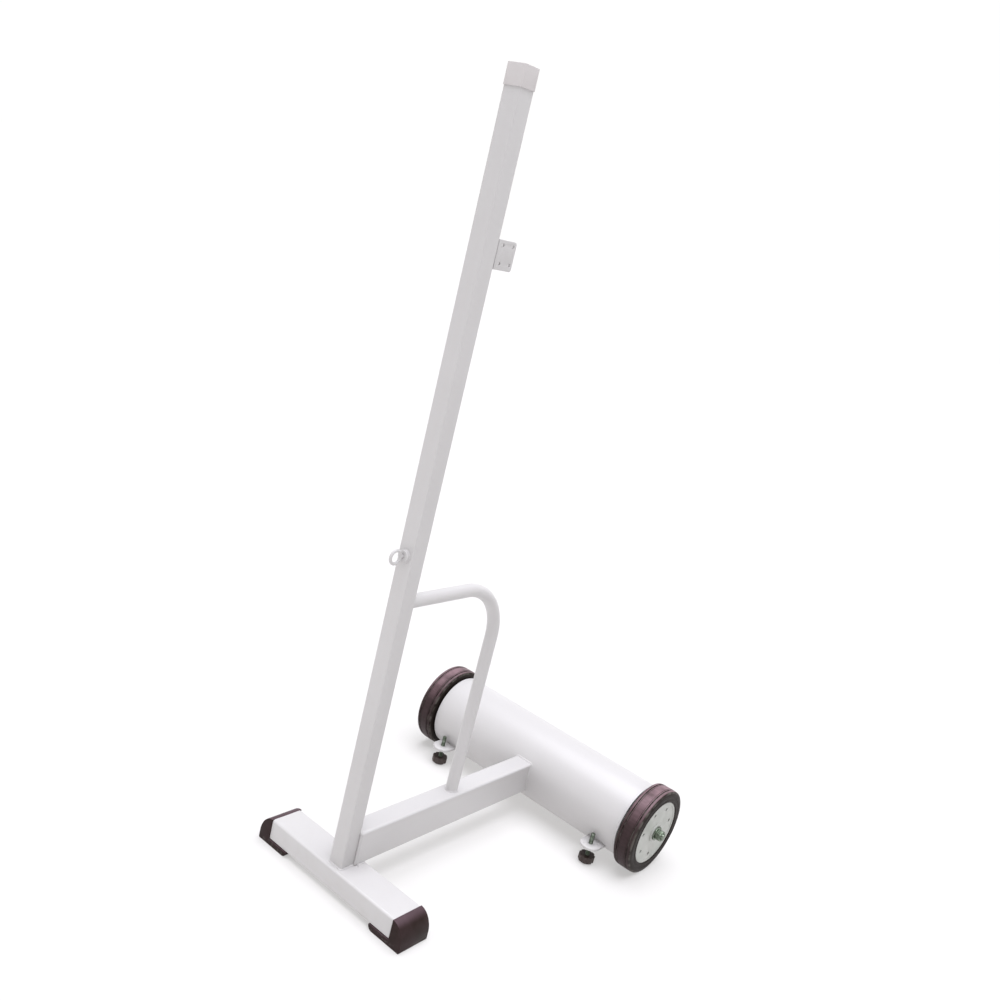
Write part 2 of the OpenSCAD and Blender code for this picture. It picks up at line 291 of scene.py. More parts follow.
@dataclass(frozen=True)
class MouldedRubber:
    """Black rubber with a fine grain, a dull bloom, a painted sheen on the faces that look up, and scuffs near
    the floor.
    """

    name: str = "moulded_rubber"
    colour: Rgb = (0.016, 0.008, 0.006)
    bloom_and_sheen: Rgb = (0.088, 0.056, 0.066)
    scuff: Rgb = (0.13, 0.12, 0.115)
    scuff_top: float = 0.02
    scuff_share: float = 0.55
    dull: float = 0.42
    cloud_scale: float = 22.0
    grain_scale: float = 1500.0
    grain_depth: float = 0.00006
    streak_scale: float = 160.0
    streak_depth: float = 0.00005

    def material(self) -> Material:
        """Builds the rubber."""
        web = Paintwork(self.name)
        grain = web.noise(self.grain_scale, 2.0)
        cloud = web.noise(self.cloud_scale, 4.0)
        streak = web.noise(self.streak_scale, 4.0, web.stretched((1.0, 0.12, 1.0)))
        scuff = (web.low_down(self.scuff_top) * streak.smooth(0.5, 0.72) * self.scuff_share).clamp()
        # Painted sheen: faces that look up, by the object's own normal, are mixed towards the pale bloom
        # colour; the cloud share is random bloom.
        bloom_and_top_sheen = (cloud.smooth(0.35, 0.7) * 0.22 + web.upward(0.6, 1.0) * 0.8).clamp()
        colour = web.blend(scuff, web.blend(bloom_and_top_sheen, self.colour, self.bloom_and_sheen), self.scuff)
        roughness = (self.dull + cloud.sway(0.3) + scuff * 0.25 + grain * 0.08).clamp()
        heights = [(grain, self.grain_depth), (streak, self.streak_depth)]
        return web.finish(colour, roughness, heights, {"Specular IOR Level": 0.11, "Sheen Weight": 0.01})


@dataclass(frozen=True)
class TyreRubber:
    """Solid tyre rubber: worn tread, a painted sheen on the upper tread, dust in the grooves, moulding rings on
    the walls.
    """

    name: str = "tyre_rubber"
    colour: Rgb = (0.012, 0.007, 0.005)
    worn: Rgb = (0.052, 0.029, 0.033)
    bloom_and_sheen: Rgb = (0.262, 0.170, 0.192)
    dust: Rgb = (0.16, 0.145, 0.13)
    dull: float = 0.46
    axle: Point = (0.3085, 0.104)
    tread_band: Point = (0.1025, 0.1037)
    groove_band: Point = (0.0975, 0.1)
    ring_band: Point = (0.094, 0.097)
    ring_rate: float = 4200.0
    ring_depth: float = 0.00006
    cloud_scale: float = 26.0
    dust_scale: float = 70.0
    grain_scale: float = 1300.0
    grain_depth: float = 0.00006
    scratch_scale: float = 240.0
    scratch_depth: float = 0.00003

    def material(self) -> Material:
        """Builds the rubber, with its patterns turned about the wheel's axis."""
        web = Paintwork(self.name)
        kind = "ShaderNodeVectorMath"
        centred = web.add(kind, {"operation": "SUBTRACT"}, {0: web.place, 1: (0.0, *self.axle)})
        across = web.add(kind, {"operation": "MULTIPLY"}, {0: centred, 1: (0.0, 1.0, 1.0)})
        radius = web.add(kind, {"operation": "LENGTH"}, {0: across}, output="Value")
        grain = web.noise(self.grain_scale, 2.0)
        cloud = web.noise(self.cloud_scale, 4.0)
        scratch = web.noise(self.scratch_scale, 3.0, web.stretched((0.2, 1.0, 1.0)))
        tread = radius.smooth(*self.tread_band)
        worn = (tread * (0.35 + cloud * 0.7) * (0.7 + scratch.smooth(*MIDDLE) * 0.3)).clamp()
        patches = web.noise(self.dust_scale).smooth(0.35, 0.65)
        groove = (radius.smooth(*self.groove_band) * (1.0 - tread) * patches * 0.5).clamp()
        film = 0.25 + cloud.smooth(*MIDDLE) * 0.55 + scratch.smooth(0.4, 0.7) * 0.1
        # Painted sheen: the tread faces that look up, by the object's own normal, are mixed towards the pale
        # bloom colour, mottled by the film noise.
        bloom_and_top_sheen = (web.upward(0.3, 0.95) * tread * film).clamp()
        body = web.blend(bloom_and_top_sheen, web.blend(worn, self.colour, self.worn), self.bloom_and_sheen)
        colour = web.blend(groove, body, self.dust)
        roughness = (self.dull + cloud.sway(0.3) - worn * 0.14 + grain * 0.08).clamp()
        rings = (radius * self.ring_rate).sine() * (1.0 - radius.smooth(*self.ring_band))
        heights = [(rings, self.ring_depth), (grain, self.grain_depth), (scratch, self.scratch_depth)]
        return web.finish(colour, roughness, heights, {"Specular IOR Level": 0.16, "Sheen Weight": 0.01})


@dataclass(frozen=True)
class MouldedPlastic:
    """Injection-moulded plastic with a fine spark-eroded grain."""

    name: str
    colour: Rgb
    shade: Rgb
    dull: float = 0.4
    grain_scale: float = 900.0
    grain_depth: float = 0.00004
    cloud_scale: float = 18.0

    def material(self) -> Material:
        """Builds the plastic."""
        web = Paintwork(self.name)
        grain = web.noise(self.grain_scale)
        cloud = web.noise(self.cloud_scale)
        colour = web.blend(cloud.smooth(*MIDDLE) * 0.8, self.colour, self.shade)
        roughness = (self.dull + cloud.sway(0.14) + grain.sway(0.12)).clamp()
        return web.finish(colour, roughness, [(grain, self.grain_depth)], {"Specular IOR Level": 0.5})


@dataclass(frozen=True)
class ZincPlate:
    """Zinc-plated steel with a faint green passivation and fine turning lines."""

    name: str = "zinc_plate"
    colour: Rgb = (0.27, 0.305, 0.255)
    tint: Rgb = (0.11, 0.14, 0.10)
    dull: float = 0.34
    cloud_scale: float = 120.0
    line_scale: float = 1400.0
    line_depth: float = 0.00003

    def material(self) -> Material:
        """Builds the plating."""
        web = Paintwork(self.name)
        cloud = web.noise(self.cloud_scale, 4.0)
        line = web.noise(self.line_scale, 2.0, web.stretched((1.0, 0.1, 0.1)))
        colour = web.blend(cloud.smooth(*MIDDLE), self.colour, self.tint)
        roughness = (self.dull + cloud.sway(0.3) + line.sway(0.15)).clamp()
        return web.finish(colour, roughness, [(line, self.line_depth)], {"Metallic": 1.0})


@dataclass(frozen=True)
class CastIron:
    """Rough sand-cast iron."""

    name: str = "cast_iron"
    colour: Rgb = (0.11, 0.105, 0.10)
    rust: Rgb = (0.20, 0.10, 0.06)
    dull: float = 0.62
    cloud_scale: float = 25.0
    sand_scale: float = 500.0
    sand_depth: float = 0.0002

    def material(self) -> Material:
        """Builds the iron."""
        web = Paintwork(self.name)
        sand = web.noise(self.sand_scale, 5.0)
        cloud = web.noise(self.cloud_scale, 5.0)
        colour = web.blend(cloud.smooth(0.55, 0.7) * 0.6, self.colour, self.rust)
        roughness = (self.dull + sand.sway(0.3)).clamp()
        return web.finish(colour, roughness, [(sand, self.sand_depth)], {"Metallic": 0.8})


def build_finishes() -> dict[Slot, Material]:
    """Makes each finish once, by material slot."""
    black, dark = (0.028, 0.015, 0.012), (0.050, 0.034, 0.030)
    recipes = {
        Slot.WHITE: PowderCoat(),
        Slot.CAP: MouldedPlastic("cap_plastic", (0.590, 0.563, 0.564), (0.558, 0.53, 0.532)),
        Slot.HUB: MouldedPlastic("hub_plastic", (0.465, 0.470, 0.445), (0.38, 0.395, 0.365)),
        Slot.FOOT: MouldedRubber(),
        Slot.TYRE: TyreRubber(),
        Slot.KNOB: MouldedPlastic("knob_plastic", black, dark, 0.45, grain_scale=1100.0, grain_depth=0.00007),
        Slot.NYLON: MouldedPlastic("nylon", (0.035, 0.035, 0.038), (0.06, 0.06, 0.062), 0.5),
        Slot.ZINC: ZincPlate(),
        Slot.IRON: CastIron(),
    }
    return {slot: recipe.material() for slot, recipe in recipes.items()}


# ---------- meshes


def rounded_outline(corners: Sequence[Triple], steps: int = 4) -> list[Point]:
    """Rounds a closed outline's corners.

    Args:
        corners: (x, y, radius) of each corner, in order.
        steps: segments on each round.

    Returns:
        The outline's points.
    """
    points: list[Point] = []
    count = len(corners)
    for i, (x, y, r) in enumerate(corners):
        here = Vector((x, y))
        if r <= 0:
            points.append((x, y))
            continue
        back = (Vector(corners[i - 1][:2]) - here).normalized()
        ahead = (Vector(corners[(i + 1) % count][:2]) - here).normalized()
        half = back.angle(ahead) / 2
        reach = r / tan(half)
        middle = here + (back + ahead).normalized() * (r / sin(half))
        start = here + back * reach - middle
        end = here + ahead * reach - middle
        for k in range(steps + 1):
            arm = start.slerp(end, k / steps)
            points.append(tuple(middle + arm.normalized() * r))
    return points


def mesh_of(name: str, verts: Iterable[Sequence[float]], faces: Iterable[Sequence[int]]) -> Mesh:
    """Makes a closed mesh with merged doubles and outward faces."""
    mesh = bpy.data.meshes.new(name)
    mesh.from_pydata([tuple(v) for v in verts], [], [tuple(f) for f in faces])
    tidy(mesh)
    return mesh


def tidy(mesh: Mesh) -> None:
    """Merges doubles, drops empty faces and turns the normals outwards."""
    work = bmesh.new()
    work.from_mesh(mesh)
    bmesh.ops.remove_doubles(work, verts=work.verts, dist=MERGE)
    bmesh.ops.dissolve_degenerate(work, edges=work.edges, dist=MERGE)
    bmesh.ops.recalc_face_normals(work, faces=work.faces)
    work.to_mesh(mesh)
    work.free()


def shade(mesh: Mesh, angle: float = 32.0) -> None:
    """Smooth shading with sharp edges above an angle in degrees."""
    mesh.shade_smooth()
    mesh.set_sharp_from_angle(angle=radians(angle))


def link(name: str, data: bpy.types.ID) -> Object:
    """Puts a mesh, light or camera into the scene."""
    piece = bpy.data.objects.new(name, data)
    bpy.context.scene.collection.objects.link(piece)
    return piece


def applied(piece: Object) -> Object:
    """Bakes a piece's modifiers into a plain mesh."""
    bpy.context.view_layer.update()
    graph = bpy.context.evaluated_depsgraph_get()
    mesh = bpy.data.meshes.new_from_object(piece.evaluated_get(graph), depsgraph=graph)
    mesh.name = piece.name
    piece.modifiers.clear()
    piece.data = mesh
    return piece


def skin(rings: int, size: int, closed: bool) -> list[Sequence[int]]:
    """The faces between rings of points that follow one another."""
    faces: list[Sequence[int]] = []
    for k in range(rings if closed else rings - 1):
        near, far = k * size, (k + 1) % rings * size
        for i in range(size):
            j = (i + 1) % size
            faces.append((near + i, near + j, far + j, far + i))
    return faces


def lathe(name: str, outline: Sequence[Point], segments: int, centre: Vector) -> Object:
    """Turns a closed outline about an axis along X.

    Args:
        name: the piece's name.
        outline: (along the axis, radius) points, in metres.
        segments: steps round the axis.
        centre: a point on the axis, where along is 0.

    Returns:
        The turned piece.
    """
    verts: list[Triple] = []
    for k in range(segments):
        turn = 2 * pi * k / segments
        for along, radius in outline:
            verts.append(tuple(Vector((along, radius * cos(turn), radius * sin(turn))) + centre))
    piece = link(name, mesh_of(name, verts, skin(segments, len(outline), True)))
    shade(piece.data)
    return piece


def softened(name: str, node: str, width: float, segments: int = 2, angle: float = 40.0) -> Object:
    """A copy of a CAD node with its hard edges rounded.

    Args:
        name: the new piece's name.
        node: the CAD node.
        width: size of the rounding, in metres.
        segments: steps across the rounding.
        angle: edges sharper than this, in degrees, are rounded.

    Returns:
        The rounded piece.
    """
    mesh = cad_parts[node].data.copy()
    work = bmesh.new()
    work.from_mesh(mesh)
    bmesh.ops.remove_doubles(work, verts=work.verts, dist=NODE_MERGE)
    bmesh.ops.dissolve_limit(work, angle_limit=radians(FLAT), verts=work.verts, edges=work.edges)
    work.to_mesh(mesh)
    work.free()
    mesh.materials.clear()
    piece = link(name, mesh)
    bevel = piece.modifiers.new("round", "BEVEL")
    bevel.width = width
    bevel.segments = segments
    bevel.limit_method = "ANGLE"
    bevel.angle_limit = radians(angle)
    bevel.use_clamp_overlap = True
    bevel.miter_outer = "MITER_ARC"
    applied(piece)
    shade(piece.data)
    return piece


class Growth(Web):
    """A Geometry Nodes tree that makes one repeated form as plain mesh."""

    def __init__(self, name: str, sizes: dict[str, float | int]) -> None:
        """Starts the tree with its named inputs."""
        super().__init__(bpy.data.node_groups.new(name, "GeometryNodeTree"))
        self.name = name
        self.sizes = sizes
        face = self.tree.interface
        for way in ("INPUT", "OUTPUT"):
            face.new_socket("Geometry", in_out=way, socket_type="NodeSocketGeometry")
        for label, value in sizes.items():
            kind = "NodeSocketInt" if isinstance(value, int) else "NodeSocketFloat"
            face.new_socket(label, in_out="INPUT", socket_type=kind)
        self.source = self.tree.nodes.new("NodeGroupInput")

    def size(self, label: str) -> Wire:
        """A named input of the tree."""
        return Wire(self, self.source.outputs[label])

    @property
    def given(self) -> Wire:
        """The geometry the tree starts from."""
        return Wire(self, self.source.outputs["Geometry"])

    def grow(self, piece: Object, geometry: Wire, material: Material) -> Object:
        """Runs the tree on a piece.

        Args:
            piece: an object whose mesh the tree starts from.
            geometry: the tree's result.
            material: the finish of the result.

        Returns:
            The piece with a plain mesh and no modifier.
        """
        real = self.add("GeometryNodeRealizeInstances", {}, {0: geometry})
        dressed = self.add("GeometryNodeSetMaterial", {}, {"Geometry": real, "Material": material})
        out = self.tree.nodes.new("NodeGroupOutput")
        self.join(dressed, out.inputs[0])
        modifier = piece.modifiers.new(self.name, "NODES")
        modifier.node_group = self.tree
        for item in self.tree.interface.items_tree:
            if item.in_out == "INPUT" and item.name in self.sizes:
                modifier[item.identifier] = self.sizes[item.name]
        return applied(piece)


def path_mesh(name: str, loops: Paths, closed: bool = True) -> Object:
    """Edges along one or more paths, for a tree to follow."""
    verts: list[Triple] = []
    edges: list[tuple[int, int]] = []
    for loop in loops:
        first = len(verts)
        verts += [tuple(p) for p in loop]
        edges += [(first + i, first + i + 1) for i in range(len(loop) - 1)]
        if closed:
            edges.append((len(verts) - 1, first))
    mesh = bpy.data.meshes.new(name)
    mesh.from_pydata(verts, edges, [])
    return link(name, mesh)


def weld_bead(name: str, loops: Paths, radius: float, paint: Material, closed: bool = True) -> Object:
    """A painted fillet weld with its rippled surface.

    Args:
        name: the piece's name.
        loops: the paths that the bead follows.
        radius: the bead's radius, in metres.
        paint: its finish.
        closed: whether each path is a loop.

    Returns:
        The bead.
    """
    sizes = {"Radius": radius, "Pitch": 2.8 * MM, "Ripple": 0.13, "Sides": 8}
    step, mean, patch_scale, unevenness = 0.9 * MM, 0.93, 60.0, 0.4
    web = Growth(name, sizes)
    line = web.add("GeometryNodeMeshToCurve", {}, {0: web.given})
    fine = web.add("GeometryNodeResampleCurve", {"mode": "LENGTH"}, {"Curve": line, "Length": step})
    place = web.add("GeometryNodeSplineParameter", output="Length")
    wave = (place / web.size("Pitch") * (2 * pi)).sine()
    position = web.add("GeometryNodeInputPosition")
    uneven = web.add("ShaderNodeTexNoise", {}, {"Vector": position, "Scale": patch_scale, "Detail": 1.0})
    thick = mean + wave * web.size("Ripple") * 0.5 + uneven.sway(unevenness)
    round_bar = {"Resolution": web.size("Sides"), "Radius": web.size("Radius")}
    ring = web.add("GeometryNodeCurvePrimitiveCircle", {"mode": "RADIUS"}, round_bar)
    bead = {"Curve": fine, "Profile Curve": ring, "Scale": thick, "Fill Caps": True}
    solid = web.add("GeometryNodeCurveToMesh", {}, bead)
    smooth = web.add("GeometryNodeSetShadeSmooth", {}, {0: solid})
    return web.grow(path_mesh(name, loops, closed), smooth, paint)


def thread(
    name: str, root_r: float, depth: float, pitch: float, length: float, place: Matrix, metal: Material
) -> Object:
    """A right-hand screw thread on a rod.

    Args:
        name: the piece's name.
        root_r: radius at the bottom of the thread.
        depth: height of the thread.
        pitch: rise in one turn.
        length: length of the threaded rod.
        place: from the rod's own frame, with the rod along +Z from 0.
        metal: its finish.

    Returns:
        The threaded rod.
    """
    crest_sides, rod_sides, turn_steps = 6, 40, 28
    crest_share, sink_share = 0.72, 0.35  # of the depth: the crest's radius, and how far out its middle lies
    turns = max(1.0, length / pitch - 1.0)
    web = Growth(name, {"Root": root_r, "Pitch": pitch, "Turns": turns, "Depth": depth, "Length": length})
    helix_r = web.size("Root") + web.size("Depth") * sink_share
    spiral = {
        "Resolution": turn_steps,
        "Rotations": web.size("Turns"),
        "Start Radius": helix_r,
        "End Radius": helix_r,
        "Height": web.size("Pitch") * web.size("Turns"),
        "Reverse": False,
    }
    helix = web.add("GeometryNodeCurveSpiral", {}, spiral)
    raised = web.add("GeometryNodeTransform", {}, {"Geometry": helix, "Translation": (0.0, 0.0, pitch * 0.5)})
    bump = {"Resolution": crest_sides, "Radius": web.size("Depth") * crest_share}
    crest = web.add("GeometryNodeCurvePrimitiveCircle", {"mode": "RADIUS"}, bump)
    helical = {"Curve": raised, "Profile Curve": crest, "Fill Caps": True}
    ridge = web.add("GeometryNodeCurveToMesh", {}, helical)
    core = {"Vertices": rod_sides, "Radius": web.size("Root"), "Depth": web.size("Length")}
    rod = web.add("GeometryNodeMeshCylinder", {"fill_type": "NGON"}, core)
    lifted = web.add("GeometryNodeTransform", {}, {"Geometry": rod, "Translation": (0.0, 0.0, length / 2)})
    both = web.add("GeometryNodeJoinGeometry", {}, {0: [ridge, lifted]})
    piece = web.grow(path_mesh(name, []), both, metal)
    piece.data.transform(place)
    shade(piece.data, 50.0)
    return piece


def swept(name: str, path: Sequence[Vector], radius: float, sides: int) -> Object:
    """Sweeps a round bar with closed ends.

    Args:
        name: the piece's name.
        path: the bar's middle line, in a plane square to X.
        radius: the bar's radius, in metres.
        sides: steps round the bar.

    Returns:
        The bar.
    """
    verts: list[Vector] = []
    count = len(path)
    for i, here in enumerate(path):
        before, after = path[max(0, i - 1)], path[min(count - 1, i + 1)]
        up = (after - before).normalized().cross(WAY_X).normalized()
        for k in range(sides):
            turn = 2 * pi * k / sides
            verts.append(here + (WAY_X * cos(turn) + up * sin(turn)) * radius)
    ends = [list(range(sides)), [(count - 1) * sides + k for k in range(sides)]]
    piece = link(name, mesh_of(name, verts, skin(count, sides, False) + ends))
    shade(piece.data)
    return piece


def merged(name: str, parts: Sequence[Object]) -> Object:
    """Joins several meshes into one piece."""
    work = bmesh.new()
    for part in parts:
        work.from_mesh(part.data)
        bpy.data.objects.remove(part)
    mesh = bpy.data.meshes.new(name)
    work.to_mesh(mesh)
    work.free()
    shade(mesh)
    return link(name, mesh)


def rectangle_path(centre: Vector, u: Vector, v: Vector, round_r: float) -> list[Vector]:
    """A rounded rectangle about a centre, with half sides u and v."""
    a, b = u.length, v.length
    corners = [(-a, -b, round_r), (a, -b, round_r), (a, b, round_r), (-a, b, round_r)]
    eu, ev = u.normalized(), v.normalized()
    return [centre + eu * p + ev * q for p, q in rounded_outline(corners, 5)]


def circle_path(centre: Vector, normal: Vector, radius: float, steps: int = 48) -> list[Vector]:
    """A circle about a centre."""
    turn = normal.to_track_quat("Z", "Y").to_matrix()
    angles = [2 * pi * k / steps for k in range(steps)]
    return [centre + turn @ Vector((radius * cos(t), radius * sin(t), 0.0)) for t in angles]


@dataclass(frozen=True)
class Extent:
    """A CAD node's box."""

    low: Vector
    high: Vector

    @classmethod
    def of(cls, node: str) -> "Extent":
        """Reads a node's box from the frame."""
        low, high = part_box(node)
        return cls(low, high)

    @property
    def centre(self) -> Vector:
        """The box's middle."""
        return (self.low + self.high) / 2

    @property
    def size(self) -> Vector:
        """The box's sides."""
        return self.high - self.low


# ---------- sub-assemblies


@dataclass
class Assembly:
    """What every sub-assembly shares: the finishes and how a piece is handed in."""

    finishes: dict[Slot, Material]
    body: str = "frame"
    pieces: list[str] = field(default_factory=list)

    def settle(self, piece: Object, slot: Slot, *nodes: str) -> None:
        """Hands a new piece in.

        Args:
            piece: the piece, at the origin and unturned.
            slot: its finish.
            nodes: the CAD nodes it stands for.
        """
        piece.data.materials.clear()
        piece.data.materials.append(self.finishes[slot])
        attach(piece, self.body)
        if nodes:
            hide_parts(*nodes)
        self.pieces.append(piece.name)

    def soften(
        self, name: str, node: str, slot: Slot, edge: float, segments: int = 2, angle: float = 40.0
    ) -> None:
        """Hands in a copy of a CAD node with rounded edges."""
        self.settle(softened(name, node, edge, segments, angle), slot, node)

    def weld(self, name: str, loops: Paths, radius: float, closed: bool = True) -> None:
        """Hands in a bead of weld along one or more paths."""
        self.settle(weld_bead(name, loops, radius, self.finishes[Slot.WHITE], closed), Slot.WHITE)

    def keep(self, node: str, slot: Slot) -> None:
        """Leaves a CAD node in place with a better finish."""
        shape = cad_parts[node]
        if not shape.material_slots:
            shape.data.materials.append(self.finishes[slot])
        for holder in shape.material_slots:
            holder.material = self.finishes[slot]
        self.pieces.append(node)

    def build(self) -> None:
        """Makes the sub-assembly's pieces."""
        raise NotImplementedError

    def report(self) -> None:
        """Logs the pieces made."""
        LOG.info("%s: %s", type(self).__name__, ", ".join(self.pieces))


@dataclass
class Base(Assembly):
    """Crossbar, spine and rubber feet."""

    tube_edge: float = 0.5 * MM
    foot_edge: float = 2.2 * MM
    weld_r: float = 2.6 * MM
    arch_r: float = 3.4 * MM
    arch_corner: float = 3 * MM

    def build(self) -> None:
        """Makes the tubes, their welds and the feet."""
        for node in ("crossbar", "spine"):
            self.soften(f"{node}_tube", node, Slot.WHITE, self.tube_edge)
        self.spine_welds()
        for side in Side:
            self.soften(f"foot_{side.word}_rubber", f"foot_{side.word}", Slot.FOOT, self.foot_edge, 3, 50.0)

    def spine_welds(self) -> None:
        """Beads where the spine stands on the crossbar, and an arch over its front end."""
        spine, bar, post = Extent.of("spine"), Extent.of("crossbar"), Extent.of("post")
        half = spine.size.x / 2
        span = (post.high.y + 2 * MM, bar.high.y - 4 * MM)
        beads = [[Vector((x, y, bar.high.z)) for y in span] for x in (-half, half)]
        self.weld("weld_spine_crossbar", beads, self.weld_r, closed=False)
        side = post.size.x / 2 + 1.8 * MM
        back = post.high.y - 0.2 * MM
        top = spine.high.z + 0.4 * MM
        rise = [(side, bar.high.z + 1 * MM), (side, top - self.arch_corner), (side - self.arch_corner, top)]
        arch = [Vector((-x, back, z)) for x, z in rise] + [Vector((x, back, z)) for x, z in reversed(rise)]
        self.weld("weld_spine_post", [arch], self.arch_r, closed=False)


@dataclass
class Mast(Assembly):
    """Post, cap, brace, drilled plate and net eye."""

    tube_edge: float = 0.4 * MM
    cap_edge: float = 1.6 * MM
    plate_edge: float = 0.5 * MM
    boss_edge: float = 1.2 * MM
    foot_weld_r: float = 2.3 * MM
    foot_corner: float = 3 * MM
    brace_weld_r: float = 2.0 * MM
    plate_weld_r: float = 1.5 * MM
    eye_weld_r: float = 1.6 * MM
    bend_r: float = 120 * MM
    bend_steps: int = 40
    run_steps: int = 8
    leg_steps: int = 12
    brace_sides: int = 48
    ring_steps: int = 72
    rod_sides: int = 24

    def build(self) -> None:
        """Makes every piece above the base."""
        self.soften("post_tube", "post", Slot.WHITE, self.tube_edge)
        self.soften("post_cap_moulding", "post_cap", Slot.CAP, self.cap_edge, 4, 50.0)
        self.brace()
        self.soften("drilled_plate", "tensioner_plate", Slot.WHITE, self.plate_edge)
        self.eye()
        self.welds()

    def brace(self) -> None:
        """The bent tube, swept along its own axis: a level run, a quarter bend and an upright leg."""
        box = Extent.of("brace_handle")
        radius, bend, run, leg = box.size.x / 2, self.bend_r, self.run_steps, self.leg_steps
        leg_y, run_z = box.high.y - radius, box.high.z - radius
        centre_y, centre_z = leg_y - bend, run_z - bend
        path = [Vector((0, box.low.y + (centre_y - box.low.y) * k / run, run_z)) for k in range(run)]
        for k in range(self.bend_steps + 1):
            turn = pi / 2 * (1 - k / self.bend_steps)
            path.append(Vector((0, centre_y + bend * cos(turn), centre_z + bend * sin(turn))))
        path += [Vector((0, leg_y, centre_z + (box.low.z - centre_z) * k / leg)) for k in range(1, leg + 1)]
        self.settle(swept("brace_tube", path, radius, self.brace_sides), Slot.WHITE, "brace_handle")

    def eye(self) -> None:
        """The ring on its shank, the boss and the bead round it."""
        box, boss = Extent.of("net_eye"), Extent.of("eye_boss")
        rod, outer = box.size.x / 2, box.size.z / 2
        ring_r = outer - rod
        middle = Vector((0, box.low.y + outer, box.centre.z))
        turns = [2 * pi * k / self.rod_sides for k in range(self.rod_sides)]
        outline = [(rod * sin(turn), ring_r + rod * cos(turn)) for turn in turns]
        ring = lathe("net_eye_ring", outline, self.ring_steps, middle)
        line = [Vector((0, y, middle.z)) for y in (middle.y + ring_r, box.high.y)]
        shank = swept("net_eye_shank", line, rod, self.rod_sides)
        self.settle(merged("net_eye_rod", [ring, shank]), Slot.WHITE, "net_eye")
        self.soften("net_eye_boss", "eye_boss", Slot.WHITE, self.boss_edge, 3)
        root = Vector((0, boss.high.y - 0.4 * MM, boss.centre.z))
        self.weld("weld_eye_boss", [circle_path(root, WAY_Y, boss.size.x / 2)], self.eye_weld_r)

    def welds(self) -> None:
        """Beads round the post's foot and the brace's two ends, and down the plate's root."""
        post, bar, plate = Extent.of("post"), Extent.of("crossbar"), Extent.of("tensioner_plate")
        brace, spine = Extent.of("brace_handle"), Extent.of("spine")
        foot, half = Vector((post.centre.x, post.centre.y, bar.high.z)), post.size.x / 2
        loop = rectangle_path(foot, WAY_X * half, WAY_Y * half, self.foot_corner)
        self.weld("weld_post_foot", [loop], self.foot_weld_r)
        radius, lift = brace.size.x / 2, 0.3 * MM
        top = circle_path(Vector((0, brace.low.y + lift, brace.high.z - radius)), WAY_Y, radius)
        leg = circle_path(Vector((0, brace.high.y - radius, spine.high.z + lift)), WAY_Z, radius)
        self.weld("weld_brace_ends", [top, leg], self.brace_weld_r)
        y, ends = plate.low.y + 0.5 * MM, (plate.low.z + 3 * MM, plate.high.z - 3 * MM)
        seam = [Vector((plate.low.x, y, z)) for z in ends]
        self.weld("weld_plate", [seam], self.plate_weld_r, closed=False)


